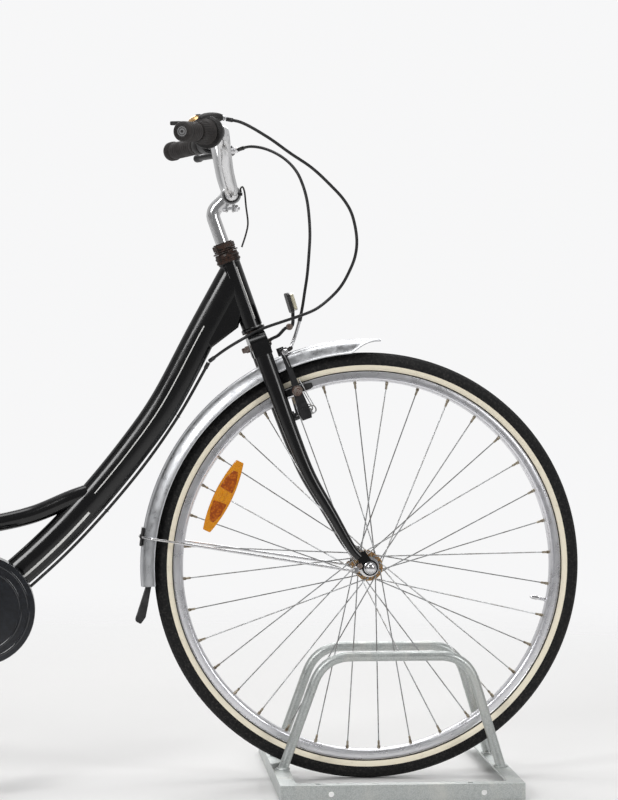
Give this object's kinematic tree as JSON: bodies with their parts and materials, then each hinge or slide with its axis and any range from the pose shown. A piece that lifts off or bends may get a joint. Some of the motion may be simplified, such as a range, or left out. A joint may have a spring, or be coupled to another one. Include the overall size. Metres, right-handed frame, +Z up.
{
  "type": "bicycle on stand",
  "caption": "Step-through city bicycle with mudguards, riser handlebar, rim brake and chain case, its front wheel held in a low steel floor stand.",
  "frame": {"origin": "centre of the footprint, on the floor that the tyres and the stand rest on", "axes": "+X ahead (front wheel), +Y to the rider's left, +Z up"},
  "size_m": [1.8214, 0.6026, 1.1004],
  "materials": {
    "tyre": "matte black tread with cream side walls",
    "rim_steel": "dull plated steel",
    "spoke_steel": "satin",
    "valve_metal": "plated",
    "amber_plastic": "moulded prism lens",
    "frame_paint": "gloss black",
    "headset_steel": "browned steel",
    "dark_steel": "satin black",
    "bright_steel": "polished plate",
    "black_leather": "fine grain vinyl",
    "chain_steel": "oiled",
    "case_plastic": "gloss black",
    "mudguard_metal": "rolled bright sheet",
    "grip_rubber": "ribbed matte",
    "black_plastic": "matte",
    "cable_sheath": "satin vinyl",
    "reflector_lens": "moulded prism lens in a black housing",
    "galvanised": "zinc coat, streaked"
  },
  "bodies": {
    "frame": {"main_tube": "frame_paint", "head_tube": "frame_paint", "upper_tube": "frame_paint", "seat_tube": "frame_paint", "chain_stay_left": "frame_paint", "chain_stay_right": "frame_paint", "seat_stay_left": "frame_paint", "seat_stay_right": "frame_paint", "seat_clamp": "bright_steel", "chain_case": "case_plastic", "chain": "chain_steel", "rear_mudguard": "mudguard_metal", "rear_mudguard_stay": "mudguard_metal", "rear_axle": "bright_steel", "shift_cable_lower": "cable_sheath"},
    "seat": {"seat_post": "bright_steel", "saddle": "black_leather"},
    "steering": {"fork_crown": "frame_paint", "fork_blade_left": "frame_paint", "fork_blade_right": "frame_paint", "headset_locknut": "headset_steel", "stem": "bright_steel", "handlebar": "bright_steel", "grip_left": "grip_rubber", "grip_right": "grip_rubber", "shifter_housing": "black_plastic", "brake_lever_bracket": "dark_steel", "bell": "bright_steel", "cable_tie": "black_plastic", "shift_cable": "cable_sheath", "brake_cable": "cable_sheath", "front_mudguard": "mudguard_metal", "front_mudguard_stay": "mudguard_metal", "front_mudflap": "black_plastic", "front_reflector": "reflector_lens", "front_axle": "bright_steel"},
    "front_wheel": {"front_tyre": "tyre", "front_rim": "rim_steel", "front_hub_and_spokes": "spoke_steel", "front_valve": "valve_metal", "front_spoke_reflector": "amber_plastic"},
    "rear_wheel": {"rear_tyre": "tyre", "rear_rim": "rim_steel", "rear_hub_and_spokes": "spoke_steel", "rear_valve": "valve_metal"},
    "sprocket": {"rear_sprocket": "chain_steel"},
    "crank": {"bottom_bracket_axle": "bright_steel", "crank_arm_right": "bright_steel", "crank_arm_left": "bright_steel"},
    "pedal_right_body": {"pedal_right": "black_plastic"},
    "pedal_left_body": {"pedal_left": "black_plastic"},
    "lever": {"brake_lever": "dark_steel"},
    "arm_left": {"brake_arm_left": "dark_steel"},
    "arm_right": {"brake_arm_right": "dark_steel"},
    "twist": {"shift_grip": "grip_rubber"},
    "striker": {"bell_striker": "black_plastic"},
    "leg": {"kickstand": "dark_steel"},
    "stand": {"stand_base": "galvanised", "stand_hoop_right": "galvanised", "stand_hoop_left": "galvanised"}
  },
  "joints": [
    {"name": "steering_turn", "type": "hinge", "parent": "frame", "child": "steering", "pos_m": [0.37465, 0, 0.734], "axis": [-0.3354, 0, 0.9421], "range_deg": [-60, 60], "deforming": ["shift_cable"]},
    {"name": "front_wheel_spin", "type": "hinge", "parent": "steering", "child": "front_wheel", "pos_m": [0.56065, 0, 0.35], "axis": [0, 1, 0], "continuous": true},
    {"name": "rear_wheel_spin", "type": "hinge", "parent": "frame", "child": "rear_wheel", "pos_m": [-0.53935, 0, 0.35], "axis": [0, 1, 0], "continuous": true},
    {"name": "crank_spin", "type": "hinge", "parent": "frame", "child": "crank", "pos_m": [-0.07935, 0, 0.282], "axis": [0, 1, 0], "continuous": true},
    {"name": "rear_sprocket_spin", "type": "hinge", "parent": "frame", "child": "sprocket", "pos_m": [-0.53935, 0, 0.35], "axis": [0, 1, 0], "continuous": true},
    {"name": "pedal_right_spin", "type": "hinge", "parent": "crank", "child": "pedal_right_body", "pos_m": [-0.07935, -0.143, 0.112], "axis": [0, 1, 0], "continuous": true},
    {"name": "pedal_left_spin", "type": "hinge", "parent": "crank", "child": "pedal_left_body", "pos_m": [-0.07935, 0.143, 0.452], "axis": [0, 1, 0], "continuous": true},
    {"name": "brake_lever_pull", "type": "hinge", "parent": "steering", "child": "lever", "pos_m": [0.34465, 0.166, 1.038], "axis": [0, 0, 1], "range_deg": [0, 7], "stiffness_Nm_per_rad": 1.5, "springref_deg": -5.73},
    {"name": "brake_arm_left_close", "type": "hinge", "parent": "steering", "child": "arm_left", "pos_m": [0.42565, 0.041, 0.5908], "axis": [0.9421, 0, 0.3354], "range_deg": [0, 4.4]},
    {"name": "brake_arm_right_close", "type": "hinge", "parent": "steering", "child": "arm_right", "pos_m": [0.42565, -0.041, 0.5908], "axis": [0.9421, 0, 0.3354], "range_deg": [-4.4, 0]},
    {"name": "shift_twist", "type": "hinge", "parent": "steering", "child": "twist", "pos_m": [0.27815, -0.225, 1.0464], "axis": [-0.4352, -0.8991, -0.0477], "range_deg": [-60, 15]},
    {"name": "bell_ring", "type": "hinge", "parent": "steering", "child": "striker", "pos_m": [0.29365, 0.189, 1.086], "axis": [0, 0, 1], "range_deg": [0, 20], "stiffness_Nm_per_rad": 0.02},
    {"name": "kickstand_fold", "type": "hinge", "parent": "frame", "child": "leg", "pos_m": [-0.15135, 0.046, 0.262], "axis": [0, -1, 0], "range_deg": [0, 60]},
    {"name": "saddle_height", "type": "slide", "parent": "frame", "child": "seat", "axis": [-0.342, 0, 0.9397], "range_m": [-0.06, 0.05]},
    {"name": "stand_release", "type": "slide", "parent": "steering", "child": "stand", "axis": [0, 0, -1], "range_m": [0, 0.25]}
  ],
  "couplings": [
    {"joint": "rear_sprocket_spin", "follows": "crank_spin", "ratio": 2.1111},
    {"joint": "brake_arm_left_close", "follows": "brake_lever_pull", "ratio": 0.625},
    {"joint": "brake_arm_right_close", "follows": "brake_lever_pull", "ratio": -0.625}
  ]
}
